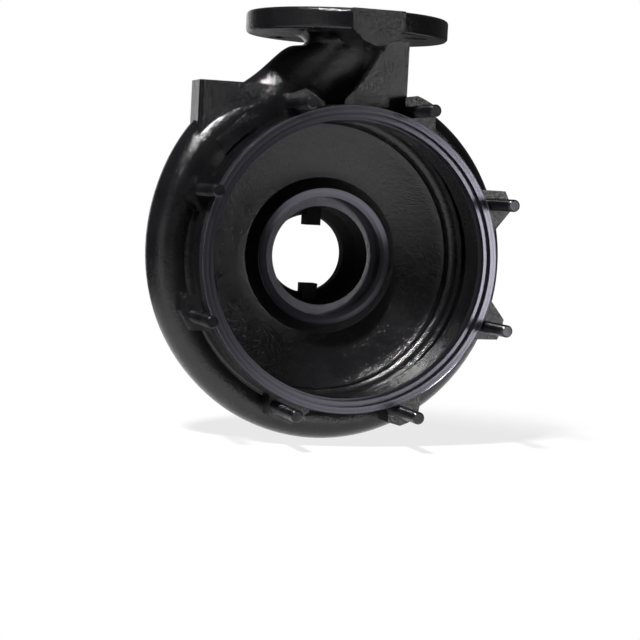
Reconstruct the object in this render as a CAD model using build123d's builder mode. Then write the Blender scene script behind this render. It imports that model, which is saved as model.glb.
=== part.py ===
from build123d import *
import math
import os

os.makedirs("parts", exist_ok=True)

# Volute pump casing. Lengths in mm, +Z up towards the discharge flange.
# The pump axis is Y: the open cover side faces -Y and the suction flange faces +Y.
# The origin is on the pump axis in the plane of the rim's front face.

# Rim and cover seat
rim_r = 123.7
rim_recess_r = 118.4
rim_recess_depth = 4.0
register_r = 114.0
register_end = 10.0
ledge_r = 112.0
ledge_end = 39.0
body_front_r = 125.0

# Chamber
chamber_r = 120.0
chamber_start = 47.0
floor_y = 88.0
floor_round = 9.0
wall = 7.5
body_r = chamber_r + 8.0
body_start = 47.0
back_y = floor_y + 8.0

# Suction eye and wear ring seat
eye_foot_r = 66.0
eye_face_y = 76.0
eye_face_r = 57.0
ring_lip_r = 53.0
ring_lip_y = 78.0
ring_r = 50.0
ring_end = 90.0
suction_in_r = 41.8

# Suction nozzle and flange, DN 65
suction_mid_r = 40.0
suction_r = 33.5
suction_mouth_r = 35.0
suction_mouth_depth = 5.0
nozzle_r = 45.0
nozzle_root_r = 60.0
nozzle_root_y = 116.0
suction_flange_r = 92.5
suction_face_r = 59.0
suction_face_y = 147.0
flange_hole_margin = 20.0
suction_pcd = 2 * (suction_flange_r - flange_hole_margin)
rib_width = 13.0
rib_inner_r = 25.0
rib_outer_r = 42.0
rib_start = 114.0
rib_end = 129.0

# Discharge neck and flange, DN 50
discharge_y = 48.0
discharge_r = 25.0
scroll_start_r = 149.0
scroll_growth = 12.0
discharge_rise = 51.0
discharge_face_z = scroll_start_r + discharge_rise
discharge_flange_r = 82.5
discharge_face_r = 49.5
discharge_pcd = 2 * (discharge_flange_r - flange_hole_margin)
plate_thickness = 17.0
flange_round = 3.0
raised_face = 3.0
flange_hole_r = 9.5
flange_hole_count = 4
plate_under_z = discharge_face_z - raised_face - plate_thickness
flare = 10.0
tap_boss_drop = 11.0
tap_boss_half = 15.0
tap_boss_shoulder = 21.5
tap_boss_step = 4.0
tap_boss_length = 54.0

# Scroll: measured by its sweep in degrees, clockwise seen from the cover side
scroll_y = 62.0
scroll_start_angle = 80.0
scroll_full_sweep = 319.0
tube_start_r = 14.0
tube_growth = 8.0
slot_half = 7.5
slot_r = scroll_start_r - 13.0
slot_sweep_start = 20.0
slot_sweep = 290.0

# Studs, M10
stud_r = 5.0
stud_pcd = 263.6
stud_count = 8
stud_first_angle = 22.5
stud_tip_y = -35.6
stud_length = 75.0
stud_end_y = stud_tip_y + stud_length
stud_chamfer = 1.2
stud_root_r = 4.3
lug_face_y = 26.0
lug_depth = 24.0

# Web, block and pad
web_edge_x = 53.5
web_foot_z = 110.0
web_thickness = 10.0
block_left_x = -121.0
block_top_z = 138.5
block_width = 60.0
block_height = 50.0
block_depth = 32.0
block_round = 3.0
pad_angle = 133.0
pad_centre_r = 133.4
pad_length = 32.5
pad_height = 12.0
pad_face_y = 40.5
pad_depth = 10.0


def scroll_station(sweep):
    """The centre radius and tube radius of the scroll after a sweep in degrees."""
    part = max(sweep, 0.0) / scroll_full_sweep
    tube = tube_start_r + tube_growth * part**3
    outer = scroll_start_r + scroll_growth * part**2.5
    return outer - tube, tube


def scroll_plane_at(sweep, centre_r):
    """The section plane of the scroll, its X axis pointing outwards."""
    angle = math.radians(scroll_start_angle - sweep)
    out = (math.cos(angle), 0, math.sin(angle))
    along = (math.sin(angle), 0, -math.cos(angle))
    origin = (centre_r * out[0], scroll_y, centre_r * out[2])
    return Plane(origin=origin, x_dir=out, z_dir=along)


def neck_plane_at(x, y, z, heading):
    """A section plane across the neck, which travels at a heading above +X."""
    angle = math.radians(heading)
    out = (-math.sin(angle), 0, math.cos(angle))
    along = (math.cos(angle), 0, math.sin(angle))
    return Plane(origin=(x, y, z), x_dir=out, z_dir=along)


# Neck stations: centre x, y, z, heading, then the outer half sizes across and along the pump axis
neck_r = discharge_r + wall
neck_lift = scroll_start_r - 149.0
neck_stations = [
    (-96.0 - neck_lift / 2, 62.5, 96.0 + neck_lift, 44.0, 25.5, 20.5),
    (-52.0 - neck_lift / 2, 64.0, 122.5 + neck_lift, 36.0, 31.0, 22.0),
    (-20.0, 57.0, 150.0 + neck_lift, 51.0, 32.5, 29.0),
    (0.0, discharge_y, plate_under_z - 1, 90.0, neck_r, neck_r),
    (0.0, discharge_y, plate_under_z + 6, 90.0, neck_r, neck_r),
]
scroll_sweeps = [30.0, 65.0, 100.0, 135.0, 170.0, 205.0, 240.0, 275.0]
nose_sweep = -6.0
nose_centre_r = 124.0
nose_r = 7.0

# Lug outlines in X and Z above the axis; the lower four mirror them
lug_outlines = [
    [(100, 62.5), (139, 62), (142, 56), (144, 45), (131, 28.5), (100, 28.5)],
    [(46.4, 100), (46.4, 133), (57, 135.8), (63, 133.5), (72, 129), (73.5, 118), (74, 100)],
    [(-100, 62), (-124.5, 61.5), (-133, 46.5), (-116, 28), (-100, 28)],
    [(-56.5, 100), (-55.5, 129), (-38, 135.8), (-22, 125.8), (-22, 100)],
]

# The section plane of turned features: its X is the radius, its Y is the pump axis
turned = Plane.XY


def facing(y):
    """A plane across the pump axis, its X is +X, its Y is +Z and its normal is -Y."""
    return Plane.XZ.offset(-y)


with BuildPart() as pump_casing:
    # Body, suction nozzle and suction flange
    with BuildSketch(turned):
        with BuildLine():
            Polyline(
                (0, 0),
                (rim_r, 0),
                (rim_r, lug_face_y),
                (body_front_r, lug_face_y),
                (body_front_r, body_start),
                (body_r, body_start + 2),
                (body_r, back_y - floor_round),
                (body_r - floor_round, back_y),
                (nozzle_root_r + 8, back_y),
                (nozzle_root_r, back_y + 4),
                (nozzle_r, nozzle_root_y),
                (nozzle_r, suction_face_y - raised_face - plate_thickness),
                (suction_flange_r, suction_face_y - raised_face - plate_thickness),
                (suction_flange_r, suction_face_y - raised_face),
                (suction_face_r, suction_face_y - raised_face),
                (suction_face_r, suction_face_y),
                (0, suction_face_y),
                (0, 0),
            )
        make_face()
    revolve(axis=Axis.Y)
    # Discharge flange
    with BuildSketch(Plane.XY.offset(plate_under_z)):
        with Locations((0, discharge_y)):
            Circle(discharge_flange_r)
    extrude(amount=plate_thickness)
    flange_rims = pump_casing.edges().filter_by(GeomType.CIRCLE)
    fillet(flange_rims.filter_by(lambda e: abs(e.radius - discharge_flange_r) < 0.01), flange_round)
    flange_rims = pump_casing.edges().filter_by(GeomType.CIRCLE)
    fillet(flange_rims.filter_by(lambda e: abs(e.radius - suction_flange_r) < 0.01), flange_round)
    with BuildSketch(Plane.XY.offset(discharge_face_z - raised_face)):
        with Locations((0, discharge_y)):
            Circle(discharge_face_r)
    extrude(amount=raised_face)
    # Flared root of the discharge flange
    with BuildSketch(facing(discharge_y)):
        with BuildLine():
            Polyline((neck_r, plate_under_z - flare), (0, plate_under_z - flare), (0, plate_under_z + 1))
            Line((0, plate_under_z + 1), (neck_r + flare, plate_under_z + 1))
            Line((neck_r + flare, plate_under_z + 1), (neck_r + flare, plate_under_z))
            RadiusArc((neck_r + flare, plate_under_z), (neck_r, plate_under_z - flare), -flare)
        make_face()
    revolve(axis=Axis((0, discharge_y, 0), (0, 0, 1)))
    # Gauge boss on the front of the discharge flange
    with BuildSketch(facing(discharge_y - discharge_flange_r)):
        with BuildLine():
            Polyline(
                (-tap_boss_half, plate_under_z - tap_boss_step),
                (-tap_boss_shoulder, plate_under_z + 1),
                (-tap_boss_shoulder, discharge_face_z - raised_face),
                (tap_boss_shoulder, discharge_face_z - raised_face),
                (tap_boss_shoulder, plate_under_z + 1),
                (tap_boss_half, plate_under_z - tap_boss_step),
            )
            ThreePointArc(
                (tap_boss_half, plate_under_z - tap_boss_step),
                (0, plate_under_z - tap_boss_drop),
                (-tap_boss_half, plate_under_z - tap_boss_step),
            )
        make_face()
    extrude(amount=-tap_boss_length)
    # Scroll and swan neck
    with BuildSketch(scroll_plane_at(nose_sweep, nose_centre_r)):
        Circle(nose_r)
    for sweep in scroll_sweeps:
        centre_r, tube = scroll_station(sweep)
        with BuildSketch(scroll_plane_at(sweep, centre_r)):
            Circle(tube)
    for x, y, z, heading, across, along in neck_stations:
        with BuildSketch(neck_plane_at(x, y, z, heading)):
            Ellipse(across, along)
    loft()
    # Web between the neck and the discharge flange
    with BuildSketch(facing(discharge_y - web_thickness / 2)):
        with BuildLine():
            Polyline(
                (0, web_foot_z),
                (web_edge_x, web_foot_z),
                (web_edge_x, plate_under_z + 1),
                (0, plate_under_z + 1),
                (0, web_foot_z),
            )
        make_face()
    extrude(amount=-web_thickness)
    # Cast block on the scroll's shoulder
    with BuildSketch(Plane.XY.offset(block_top_z - block_height)):
        with Locations((block_left_x + block_width / 2, scroll_y)):
            block = Rectangle(block_width, block_depth)
        fillet(block.vertices(), block_round)
    extrude(amount=block_height)
    # Raised pad on the scroll's front
    pad_x = pad_centre_r * math.cos(math.radians(pad_angle))
    pad_z = pad_centre_r * math.sin(math.radians(pad_angle))
    with BuildSketch(facing(pad_face_y)):
        with Locations((pad_x, pad_z)):
            Rectangle(pad_length, pad_height, rotation=pad_angle - 90)
    extrude(amount=-pad_depth)
    # Lugs behind the rim
    for outline in lug_outlines:
        for side in (1, -1):
            with BuildSketch(facing(lug_face_y)):
                with BuildLine():
                    Polyline([(x, side * z) for x, z in outline], close=True)
                make_face()
            extrude(amount=-lug_depth)
    # Cover seat, chamber, wear ring seat and suction passage
    with BuildSketch(turned):
        with BuildLine():
            Polyline(
                (chamber_r, floor_y - floor_round),
                (chamber_r, chamber_start),
                (ledge_r, ledge_end),
                (ledge_r, register_end),
                (register_r, register_end),
                (register_r, rim_recess_depth),
                (rim_recess_r, rim_recess_depth),
                (rim_recess_r, 0),
                (0, 0),
                (0, suction_face_y),
                (suction_mouth_r, suction_face_y),
                (suction_r, suction_face_y - suction_mouth_depth),
                (suction_r, suction_face_y - plate_thickness),
                (suction_mid_r, rib_start),
                (suction_in_r, ring_end),
                (ring_r, ring_end),
                (ring_r, ring_lip_y + 1),
                (ring_lip_r, ring_lip_y),
                (eye_face_r, eye_face_y),
                (eye_foot_r, floor_y),
                (chamber_r - floor_round, floor_y),
            )
            RadiusArc((chamber_r - floor_round, floor_y), (chamber_r, floor_y - floor_round), -floor_round)
        make_face()
    revolve(axis=Axis.Y, mode=Mode.SUBTRACT)
    # Scroll channel, open to the chamber through a ring slot
    for sweep in scroll_sweeps:
        centre_r, tube = scroll_station(sweep)
        with BuildSketch(scroll_plane_at(sweep, centre_r)):
            Circle(tube - wall)
    for x, y, z, heading, across, along in neck_stations:
        with BuildSketch(neck_plane_at(x, y, z, heading)):
            Ellipse(across - wall, along - wall)
    loft(mode=Mode.SUBTRACT)
    with BuildSketch(scroll_plane_at(slot_sweep_start, (chamber_r + slot_r) / 2 - 2)):
        Rectangle(slot_r - chamber_r + 4, 2 * slot_half)
    revolve(axis=Axis.Y, revolution_arc=slot_sweep, mode=Mode.SUBTRACT)
    with BuildSketch(Plane.XY.offset(neck_stations[-1][2])):
        with Locations((0, discharge_y)):
            Circle(discharge_r)
    extrude(amount=discharge_face_z - neck_stations[-1][2], mode=Mode.SUBTRACT)
    # Ribs in the suction passage
    with BuildSketch(facing(rib_start)):
        with GridLocations(0, rib_inner_r + rib_outer_r, 1, 2):
            Rectangle(rib_width, rib_outer_r - rib_inner_r)
    extrude(amount=-(rib_end - rib_start))
    # Flange bolt holes and blind stud holes
    with BuildSketch(Plane.XY.offset(plate_under_z)):
        with Locations((0, discharge_y)):
            with PolarLocations(discharge_pcd / 2, flange_hole_count, start_angle=45):
                Circle(flange_hole_r)
    extrude(amount=plate_thickness, mode=Mode.SUBTRACT)
    with BuildSketch(facing(suction_face_y - raised_face)):
        with PolarLocations(suction_pcd / 2, flange_hole_count, start_angle=45):
            Circle(flange_hole_r)
    extrude(amount=plate_thickness, mode=Mode.SUBTRACT)
    with BuildSketch(facing(lug_face_y)):
        with PolarLocations(stud_pcd / 2, stud_count, start_angle=stud_first_angle):
            Circle(stud_root_r)
    extrude(amount=-(stud_end_y - lug_face_y), mode=Mode.SUBTRACT)
pump_casing.part.label = "pump_casing"
export_step(pump_casing.part, "parts/pump_casing.step")

with BuildPart() as studs:
    with BuildSketch(facing(stud_tip_y)):
        with PolarLocations(stud_pcd / 2, stud_count, start_angle=stud_first_angle):
            Circle(stud_r)
    extrude(amount=-(lug_face_y - stud_tip_y))
    chamfer(studs.edges().group_by(Axis.Y)[0], stud_chamfer)
    # Ends screwed into the lugs
    with BuildSketch(facing(lug_face_y)):
        with PolarLocations(stud_pcd / 2, stud_count, start_angle=stud_first_angle):
            Circle(stud_root_r)
    extrude(amount=-(stud_end_y - lug_face_y))
studs.part.label = "studs"
export_step(studs.part, "parts/studs.step")
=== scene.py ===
import math

import bpy
from mathutils import Matrix, Vector

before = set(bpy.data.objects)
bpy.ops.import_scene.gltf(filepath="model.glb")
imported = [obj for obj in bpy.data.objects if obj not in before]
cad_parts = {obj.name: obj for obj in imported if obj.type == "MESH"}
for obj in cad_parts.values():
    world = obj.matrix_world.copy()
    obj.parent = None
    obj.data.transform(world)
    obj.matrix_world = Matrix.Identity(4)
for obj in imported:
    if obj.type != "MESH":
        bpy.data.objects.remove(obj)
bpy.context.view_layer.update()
bpy.context.view_layer.update()

# Places on the casing that the looks follow, in metres. Radii are from the pump axis.
RIM_R = 0.1236
LEDGE_R = 0.1119
SEAT_END = 0.0105
EYE_FACE_R = 0.0574
EYE_BORE_R = 0.0415
EYE_START = 0.0745
EYE_END = 0.0900
EYE_FOOT_R = 0.066
SUCTION_FACE_R = 0.0600
SUCTION_FACE_Y = 0.1468
DISCHARGE_FACE_Z = 0.1996
PASSAGE_R = 0.0460
PASSAGE_START = 0.0900
EDGE = 0.0006
CHAMBER_START = 0.047
FLOOR_Y = 0.088
STUD_TIP_END = -0.0335
THREAD_PITCH = 0.0015

# Lean of the chamber's walls that the shading shows
FLOOR_SLOPE = 0.40
FLOOR_ROUND_R = 0.104
FLOOR_ROUND_RATE = 14.0
SIDE_SLOPE = 0.70
SIDE_RATE = 2.0
SIDE_IN_R = 0.1190
SIDE_OUT_R = 0.1270

# Colours, linear
PAINT_DARK = (0.0040, 0.0040, 0.0045)
PAINT_WORN = (0.0075, 0.0075, 0.0082)
METAL_DARK = (0.07, 0.068, 0.083)
METAL_LIGHT = (0.15, 0.145, 0.172)
STUD_DARK = (0.025, 0.025, 0.028)
STUD_LIGHT = (0.07, 0.07, 0.075)

# Depth of the grain on the casting and on the studs, and of the thread, in metres
SKIN_DEPTH = 0.0005
STUD_GRAIN_DEPTH = 0.0003
THREAD_DEPTH = 0.0005
RING_SHARE = 0.02
LATHE_PITCH = 1700.0

# Room, floor and camera
GROUND_Z = -0.1515
FLOOR_GAP = 0.0003
FLOOR_R = 0.5
FLOOR_FADE_START = 0.20
FLOOR_FADE_END = 0.42
FLOOR_GLOW = 0.80
ROOM_LEVEL = 0.05
WHITE_FROM = 0.955
WHITE_FULL = 0.995
VIEW_ANGLES = (17.28, 3.8, 2.99)
VIEW_PLACE = (-0.47426, -1.44461, 0.05213)
SENSOR_WIDTH = 36.0
LENS = 1900.5 / 640.0 * SENSOR_WIDTH

# Name, place, target, width, height, watts
LAMPS = (
    ("key", (-0.88, -0.90, 1.66), (0, 0.04, 0.02), 0.26, 0.26, 84),
    ("right panel", (1.06, -1.80, -0.02), (0.1, 0.0, 0.0), 0.35, 0.6, 7),
    ("left panel", (-1.60, -1.10, -0.25), (0.0, 0.05, 0.0), 0.8, 0.8, 2),
)


# Node helpers
def new_group(name, inputs, outputs):
    tree = bpy.data.node_groups.new(name, "ShaderNodeTree")
    for label, kind, value in inputs:
        socket = tree.interface.new_socket(name=label, in_out="INPUT", socket_type=kind)
        if value is not None:
            socket.default_value = value
    for label in outputs:
        tree.interface.new_socket(name=label, in_out="OUTPUT", socket_type="NodeSocketFloat")
    start = tree.nodes.new("NodeGroupInput")
    end = tree.nodes.new("NodeGroupOutput")
    return tree, start, end


def math_node(tree, operation, first, second=None):
    node = tree.nodes.new("ShaderNodeMath")
    node.operation = operation
    for index, value in enumerate((first, second)):
        if value is None:
            continue
        if isinstance(value, (int, float)):
            node.inputs[index].default_value = value
        else:
            tree.links.new(value, node.inputs[index])
    return node.outputs[0]


def add(tree, first, second):
    return math_node(tree, "ADD", first, second)


def subtract(tree, first, second):
    return math_node(tree, "SUBTRACT", first, second)


def multiply(tree, first, second):
    return math_node(tree, "MULTIPLY", first, second)


def maximum(tree, first, second):
    return math_node(tree, "MAXIMUM", first, second)


def smooth_step(tree, value, start, end):
    """0 at start and 1 at end, whichever of them is larger."""
    node = tree.nodes.new("ShaderNodeMapRange")
    node.interpolation_type = "SMOOTHSTEP"
    tree.links.new(value, node.inputs["Value"])
    node.inputs["From Min"].default_value = start
    node.inputs["From Max"].default_value = end
    return node.outputs["Result"]


def between(tree, value, low, high, soft=0.0004):
    """1 where the value lies between low and high."""
    above = smooth_step(tree, value, low - soft, low + soft)
    below = smooth_step(tree, value, high + soft, high - soft)
    return multiply(tree, above, below)


def distance_from_axis(tree, first, second):
    squares = add(tree, multiply(tree, first, first), multiply(tree, second, second))
    return math_node(tree, "SQRT", squares)


def noise(tree, vector, scale, detail=2.0, roughness=0.5):
    node = tree.nodes.new("ShaderNodeTexNoise")
    tree.links.new(vector, node.inputs["Vector"])
    node.inputs["Scale"].default_value = scale
    node.inputs["Detail"].default_value = detail
    node.inputs["Roughness"].default_value = roughness
    return node.outputs["Fac"]


def line_noise(tree, value):
    """Noise that changes along one line only."""
    node = tree.nodes.new("ShaderNodeTexNoise")
    node.noise_dimensions = "1D"
    tree.links.new(value, node.inputs["W"])
    node.inputs["Scale"].default_value = 1.0
    node.inputs["Detail"].default_value = 2.0
    return node.outputs["Fac"]


def mix_colour(tree, factor, first, second):
    node = tree.nodes.new("ShaderNodeMix")
    node.data_type = "RGBA"
    tree.links.new(factor, node.inputs["Factor"])
    for socket, value in ((node.inputs[6], first), (node.inputs[7], second)):
        if isinstance(value, tuple):
            socket.default_value = (*value, 1.0)
        else:
            tree.links.new(value, socket)
    return node.outputs[2]


def mix_shader(tree, factor, first, second):
    node = tree.nodes.new("ShaderNodeMixShader")
    tree.links.new(factor, node.inputs["Fac"])
    tree.links.new(first, node.inputs[1])
    tree.links.new(second, node.inputs[2])
    return node.outputs[0]


def bump(tree, height, strength, distance, normal=None):
    node = tree.nodes.new("ShaderNodeBump")
    node.inputs["Strength"].default_value = strength
    node.inputs["Distance"].default_value = distance
    tree.links.new(height, node.inputs["Height"])
    if normal is not None:
        tree.links.new(normal, node.inputs["Normal"])
    return node.outputs["Normal"]


# Camera
def add_camera():
    azimuth, elevation, roll = (math.radians(a) for a in VIEW_ANGLES)
    forward = Vector((
        math.sin(azimuth) * math.cos(elevation),
        math.cos(azimuth) * math.cos(elevation),
        -math.sin(elevation),
    ))
    level = Vector((math.cos(azimuth), -math.sin(azimuth), 0.0))
    upright = level.cross(forward)
    right = math.cos(roll) * level + math.sin(roll) * upright
    up = -math.sin(roll) * level + math.cos(roll) * upright
    data = bpy.data.cameras.new("camera")
    data.sensor_width = SENSOR_WIDTH
    data.sensor_fit = "AUTO"
    data.lens = LENS
    camera = bpy.data.objects.new("camera", data)
    bpy.context.scene.collection.objects.link(camera)
    turn = Matrix((right, up, -forward)).transposed().to_4x4()
    camera.matrix_world = Matrix.Translation(Vector(VIEW_PLACE)) @ turn
    bpy.context.scene.camera = camera


# Lamps
def add_lamp(name, place, target, width, height, watts):
    data = bpy.data.lights.new(name, "AREA")
    data.shape = "RECTANGLE"
    data.size = width
    data.size_y = height
    data.energy = watts
    lamp = bpy.data.objects.new(name, data)
    bpy.context.scene.collection.objects.link(lamp)
    lamp.location = place
    direction = Vector(target) - Vector(place)
    lamp.rotation_mode = "QUATERNION"
    lamp.rotation_quaternion = direction.to_track_quat("-Z", "Y")


def add_world():
    """A dim room, white where the camera looks and in reflections of what lies straight behind."""
    world = bpy.data.worlds.new("studio")
    bpy.context.scene.world = world
    world.use_nodes = True
    tree = world.node_tree
    nodes, links = tree.nodes, tree.links
    nodes.clear()
    output = nodes.new("ShaderNodeOutputWorld")
    room = nodes.new("ShaderNodeBackground")
    room.inputs["Color"].default_value = (0.95, 0.95, 1.0, 1)
    room.inputs["Strength"].default_value = ROOM_LEVEL
    white = nodes.new("ShaderNodeBackground")
    white.inputs["Color"].default_value = (1, 1, 1, 1)
    white.inputs["Strength"].default_value = 1.0
    path = nodes.new("ShaderNodeLightPath")
    coords = nodes.new("ShaderNodeTexCoord")
    split = nodes.new("ShaderNodeSeparateXYZ")
    links.new(coords.outputs["Generated"], split.inputs[0])
    behind = smooth_step(tree, split.outputs["Y"], WHITE_FROM, WHITE_FULL)
    shiny = multiply(tree, path.outputs["Is Glossy Ray"], behind)
    seen = maximum(tree, path.outputs["Is Camera Ray"], path.outputs["Is Transmission Ray"])
    seen = maximum(tree, seen, shiny)
    links.new(mix_shader(tree, seen, room.outputs[0], white.outputs[0]), output.inputs["Surface"])


# Shared effects
def make_radius_group():
    """Distance from the pump axis, the place along it and the height above it."""
    tree, start, end = new_group(
        "place on the pump axis",
        [("Vector", "NodeSocketVector", None)],
        ["Radius", "Along", "Height"],
    )
    split = tree.nodes.new("ShaderNodeSeparateXYZ")
    tree.links.new(start.outputs["Vector"], split.inputs[0])
    radius = distance_from_axis(tree, split.outputs["X"], split.outputs["Z"])
    tree.links.new(radius, end.inputs["Radius"])
    tree.links.new(split.outputs["Y"], end.inputs["Along"])
    tree.links.new(split.outputs["Z"], end.inputs["Height"])
    return tree


def make_cast_group():
    """The skin of a sand casting under paint: grain and slow waves, with patches of wear and dust."""
    tree, start, end = new_group(
        "cast skin",
        [
            ("Vector", "NodeSocketVector", None),
            ("Grain", "NodeSocketFloat", 1.0),
            ("Waves", "NodeSocketFloat", 1.0),
        ],
        ["Height", "Wear", "Dust"],
    )
    vector = start.outputs["Vector"]
    fine = multiply(tree, noise(tree, vector, 900.0, 2.0, 0.6), 0.6)
    middle = multiply(tree, noise(tree, vector, 330.0), 0.4)
    slow = noise(tree, vector, 38.0)
    grain = multiply(tree, add(tree, fine, middle), start.outputs["Grain"])
    waves = multiply(tree, slow, start.outputs["Waves"])
    tree.links.new(add(tree, grain, waves), end.inputs["Height"])
    wear = smooth_step(tree, noise(tree, vector, 22.0, 4.0, 0.6), 0.42, 0.68)
    tree.links.new(wear, end.inputs["Wear"])
    dust = smooth_step(tree, noise(tree, vector, 9.0, 5.0, 0.65), 0.40, 0.72)
    tree.links.new(dust, end.inputs["Dust"])
    return tree


def make_bowl_group():
    """The chamber's floor rises outwards and rounds into a leaning side wall."""
    tree, start, end = new_group(
        "bowl form",
        [("Radius", "NodeSocketFloat", 0.0), ("Along", "NodeSocketFloat", 0.0)],
        ["Height"],
    )
    radius, along = start.outputs["Radius"], start.outputs["Along"]
    out = maximum(tree, subtract(tree, radius, EYE_FOOT_R), 0.0)
    near_wall = maximum(tree, subtract(tree, radius, FLOOR_ROUND_R), 0.0)
    rounding = multiply(tree, multiply(tree, near_wall, near_wall), FLOOR_ROUND_RATE)
    floor = add(tree, multiply(tree, out, FLOOR_SLOPE), rounding)
    on_floor = smooth_step(tree, along, FLOOR_Y - 0.006, FLOOR_Y - 0.004)

    depth = maximum(tree, subtract(tree, along, CHAMBER_START), 0.0)
    side = multiply(tree, add(tree, multiply(tree, depth, SIDE_RATE), SIDE_SLOPE), depth)
    past_in = smooth_step(tree, radius, SIDE_IN_R, SIDE_IN_R + EDGE)
    before_out = smooth_step(tree, radius, SIDE_OUT_R, SIDE_OUT_R - EDGE)
    on_side = multiply(tree, multiply(tree, past_in, before_out), subtract(tree, 1.0, on_floor))

    total = add(tree, multiply(tree, floor, on_floor), multiply(tree, side, on_side))
    tree.links.new(total, end.inputs["Height"])
    return tree


def make_turned_group():
    """Tool marks of a lathe: fine rings round the pump axis."""
    tree, start, end = new_group(
        "lathe marks",
        [
            ("Radius", "NodeSocketFloat", 0.0),
            ("Along", "NodeSocketFloat", 0.0),
            ("Pitch", "NodeSocketFloat", 1600.0),
        ],
        ["Height", "Streaks"],
    )
    path = add(tree, start.outputs["Radius"], start.outputs["Along"])
    scaled = multiply(tree, path, start.outputs["Pitch"])
    tree.links.new(line_noise(tree, scaled), end.inputs["Height"])
    tree.links.new(line_noise(tree, multiply(tree, scaled, 0.22)), end.inputs["Streaks"])
    return tree


GROUPS = {
    "radius": make_radius_group(),
    "cast": make_cast_group(),
    "turned": make_turned_group(),
    "bowl": make_bowl_group(),
}


def place_group(tree, key, values):
    node = tree.nodes.new("ShaderNodeGroup")
    node.node_tree = GROUPS[key]
    for label, value in values.items():
        if isinstance(value, (int, float)):
            node.inputs[label].default_value = value
        else:
            tree.links.new(value, node.inputs[label])
    return node


# Materials
def new_material(name):
    material = bpy.data.materials.new(name)
    material.use_nodes = True
    tree = material.node_tree
    tree.nodes.clear()
    output = tree.nodes.new("ShaderNodeOutputMaterial")
    shader = tree.nodes.new("ShaderNodeBsdfPrincipled")
    tree.links.new(shader.outputs[0], output.inputs["Surface"])
    coords = tree.nodes.new("ShaderNodeTexCoord")
    return material, tree, shader, coords.outputs["Object"]


def machined_areas(tree, radius, along, height):
    """1 on the rim with its register, the wear ring seat and both flange faces."""
    rim = multiply(
        tree,
        between(tree, radius, LEDGE_R, RIM_R),
        smooth_step(tree, along, SEAT_END, SEAT_END - EDGE),
    )
    eye = multiply(
        tree,
        between(tree, radius, EYE_BORE_R, EYE_FACE_R),
        between(tree, along, EYE_START, EYE_END),
    )
    suction = multiply(
        tree,
        smooth_step(tree, radius, SUCTION_FACE_R, SUCTION_FACE_R - EDGE),
        smooth_step(tree, along, SUCTION_FACE_Y - EDGE, SUCTION_FACE_Y),
    )
    discharge = smooth_step(tree, height, DISCHARGE_FACE_Z - EDGE, DISCHARGE_FACE_Z)
    return maximum(tree, maximum(tree, rim, eye), maximum(tree, suction, discharge))


def make_casing_material():
    material, tree, shader, vector = new_material("black painted casting")
    place = place_group(tree, "radius", {"Vector": vector})
    radius, along, height = (place.outputs[n] for n in ("Radius", "Along", "Height"))
    cast = place_group(tree, "cast", {"Vector": vector, "Grain": 1.0, "Waves": 0.8})
    marks = {"Radius": radius, "Along": along, "Pitch": LATHE_PITCH}
    turned = place_group(tree, "turned", marks)
    bright = machined_areas(tree, radius, along, height)
    passage = multiply(
        tree,
        smooth_step(tree, radius, PASSAGE_R, PASSAGE_R - 0.001),
        smooth_step(tree, along, PASSAGE_START, PASSAGE_START + 0.001),
    )

    # Colour and shine
    streaks = turned.outputs["Streaks"]
    paint = mix_colour(tree, cast.outputs["Wear"], PAINT_DARK, PAINT_WORN)
    metal = mix_colour(tree, streaks, METAL_DARK, METAL_LIGHT)
    tree.links.new(mix_colour(tree, bright, paint, metal), shader.inputs["Base Color"])
    rough_paint = add(tree, multiply(tree, cast.outputs["Dust"], 0.08), 0.24)
    rough_paint = maximum(tree, rough_paint, multiply(tree, passage, 0.75))
    rough_metal = add(tree, multiply(tree, streaks, 0.10), 0.16)
    mix = tree.nodes.new("ShaderNodeMix")
    tree.links.new(bright, mix.inputs["Factor"])
    tree.links.new(rough_paint, mix.inputs[2])
    tree.links.new(rough_metal, mix.inputs[3])
    tree.links.new(mix.outputs[0], shader.inputs["Roughness"])
    tree.links.new(multiply(tree, bright, 0.95), shader.inputs["Metallic"])

    # Lean of the chamber's walls, then grain on the paint and rings on the metal
    bowl = place_group(tree, "bowl", {"Radius": radius, "Along": along})
    form = bump(tree, bowl.outputs["Height"], 1.0, 1.0)
    skin = multiply(tree, cast.outputs["Height"], subtract(tree, 1.0, bright))
    rings = multiply(tree, turned.outputs["Height"], multiply(tree, bright, RING_SHARE))
    normal = bump(tree, add(tree, skin, rings), 1.0, SKIN_DEPTH, form)
    tree.links.new(normal, shader.inputs["Normal"])

    # Gloss of the paint
    coat = subtract(tree, 1.0, maximum(tree, bright, passage))
    tree.links.new(coat, shader.inputs["Coat Weight"])
    tree.links.new(normal, shader.inputs["Coat Normal"])
    shader.inputs["Coat Roughness"].default_value = 0.10
    shader.inputs["Specular IOR Level"].default_value = 0.12
    return material


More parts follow.
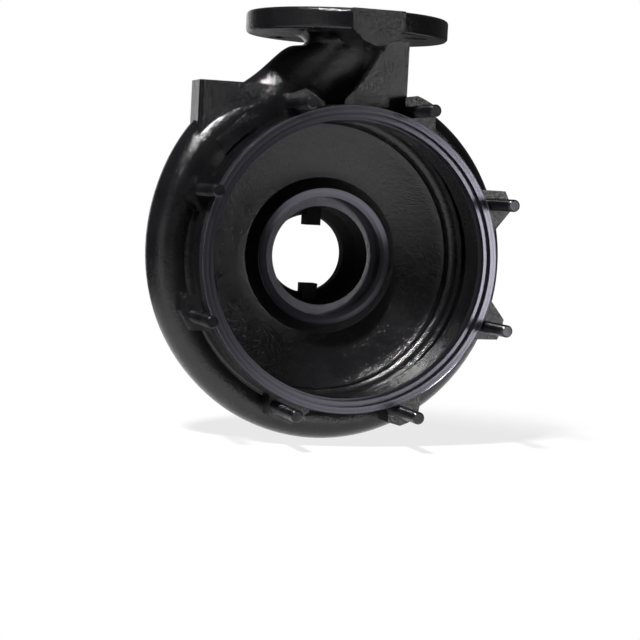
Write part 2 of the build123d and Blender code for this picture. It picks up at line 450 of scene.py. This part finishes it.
def make_stud_material():
    material, tree, shader, vector = new_material("dark stud steel")
    cast = place_group(tree, "cast", {"Vector": vector, "Grain": 0.3, "Waves": 0.2})
    colour = mix_colour(tree, cast.outputs["Wear"], STUD_DARK, STUD_LIGHT)
    tree.links.new(colour, shader.inputs["Base Color"])
    rough = add(tree, multiply(tree, cast.outputs["Dust"], 0.15), 0.16)
    tree.links.new(rough, shader.inputs["Roughness"])
    shader.inputs["Metallic"].default_value = 0.85

    # Thread behind the bare tip, as rings a pitch apart
    place = place_group(tree, "radius", {"Vector": vector})
    along = place.outputs["Along"]
    turns = math_node(tree, "SINE", multiply(tree, along, 2 * math.pi / THREAD_PITCH))
    past_tip = smooth_step(tree, along, STUD_TIP_END - 0.0005, STUD_TIP_END)
    thread = multiply(tree, multiply(tree, turns, 0.5), past_tip)
    normal = bump(tree, thread, 1.0, THREAD_DEPTH)
    normal = bump(tree, cast.outputs["Height"], 0.15, STUD_GRAIN_DEPTH, normal)
    tree.links.new(normal, shader.inputs["Normal"])
    return material


def make_floor_material():
    """Pale floor under the casing that fades into the white all round."""
    material, tree, shader, vector = new_material("pale floor")
    shader.inputs["Base Color"].default_value = (0.90, 0.90, 0.90, 1)
    shader.inputs["Roughness"].default_value = 0.9
    grain = noise(tree, vector, 60.0, 3.0)
    tree.links.new(bump(tree, grain, 0.05, 0.001), shader.inputs["Normal"])
    split = tree.nodes.new("ShaderNodeSeparateXYZ")
    tree.links.new(vector, split.inputs[0])
    out = distance_from_axis(tree, split.outputs["X"], split.outputs["Y"])
    fade = smooth_step(tree, out, FLOOR_FADE_END, FLOOR_FADE_START)
    tree.links.new(fade, shader.inputs["Alpha"])

    # Where the camera looks the floor is nearly white, with the shadow left in it
    glow = tree.nodes.new("ShaderNodeEmission")
    glow.inputs["Color"].default_value = (1, 1, 1, 1)
    path = tree.nodes.new("ShaderNodeLightPath")
    seen = maximum(tree, path.outputs["Is Camera Ray"], path.outputs["Is Glossy Ray"])
    seen = maximum(tree, seen, path.outputs["Is Transmission Ray"])
    share = multiply(tree, seen, FLOOR_GLOW)
    mixed = mix_shader(tree, share, shader.outputs[0], glow.outputs[0])
    output = next(node for node in tree.nodes if node.type == "OUTPUT_MATERIAL")
    tree.links.new(mixed, output.inputs["Surface"])
    return material


def set_material(obj, material):
    obj.data.materials.clear()
    obj.data.materials.append(material)


# Floor
def add_floor():
    bpy.ops.object.select_all(action="DESELECT")
    bpy.ops.mesh.primitive_circle_add(
        vertices=96, radius=FLOOR_R, fill_type="NGON",
        location=(0, 0, GROUND_Z - FLOOR_GAP),
    )
    floor = bpy.context.object
    floor.name = "floor"
    set_material(floor, make_floor_material())


add_camera()
add_world()
for lamp in LAMPS:
    add_lamp(*lamp)
add_floor()

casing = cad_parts["pump_casing"]
set_material(casing, make_casing_material())

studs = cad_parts["studs"]
set_material(studs, make_stud_material())

bpy.context.scene.view_settings.view_transform = "Standard"
